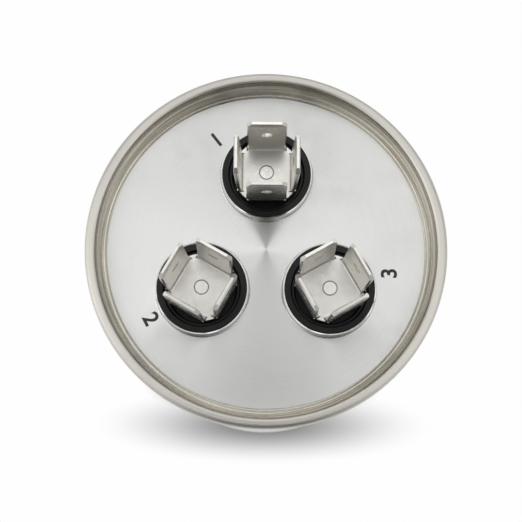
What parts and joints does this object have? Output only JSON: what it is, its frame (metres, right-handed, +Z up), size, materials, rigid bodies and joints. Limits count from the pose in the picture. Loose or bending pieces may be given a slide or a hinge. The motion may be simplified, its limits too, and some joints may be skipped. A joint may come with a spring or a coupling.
{
  "type": "motor run capacitor",
  "caption": "Round metal-can motor run capacitor with a double-seamed lid, black bushings and upright four-tab push-on terminals.",
  "frame": {"origin": "centre of the can's base, on the surface that it stands on", "axes": "+Z up along the can's axis, +Y from the axis towards terminal 1, +X towards the side of terminal 3"},
  "size_m": [0.059, 0.059, 0.094],
  "materials": {
    "can_metal": "drawn, satin",
    "lid_metal": "turned, satin",
    "terminal_metal": "tin-plated, satin",
    "rivet_metal": "tin-plated, satin",
    "black_moulding": "moulded thermoset, semi-matte",
    "gasket_rubber": "matte",
    "sealing_compound": "matte",
    "lead_metal": "bare copper wire with soldered feet",
    "insulator": "moulded, matte",
    "film": "wound metallised film",
    "sprayed_metal": "sprayed zinc, rough",
    "wrap": "clear film wrap"
  },
  "bodies": {
    "root": {"can": "can_metal", "lid": "lid_metal", "seam_compound": "sealing_compound", "bushing_1": "black_moulding", "bushing_2": "black_moulding", "bushing_3": "black_moulding", "gasket_1": "gasket_rubber", "gasket_2": "gasket_rubber", "gasket_3": "gasket_rubber", "terminal_1": "terminal_metal", "terminal_2": "terminal_metal", "terminal_3": "terminal_metal", "rivet_1": "rivet_metal", "rivet_2": "rivet_metal", "rivet_3": "rivet_metal", "lug_1": "rivet_metal", "lug_2": "rivet_metal", "lug_3": "rivet_metal", "lead_1": "lead_metal", "lead_2": "lead_metal", "lead_3": "lead_metal", "interrupter_disc": "insulator", "inner_spray": "sprayed_metal", "outer_spray": "sprayed_metal", "common_spray": "sprayed_metal", "inner_winding": "film", "outer_winding": "film", "section_barrier": "insulator", "core_tube": "insulator", "roll_wrap": "wrap", "base_cup": "insulator"}
  },
  "joints": []
}
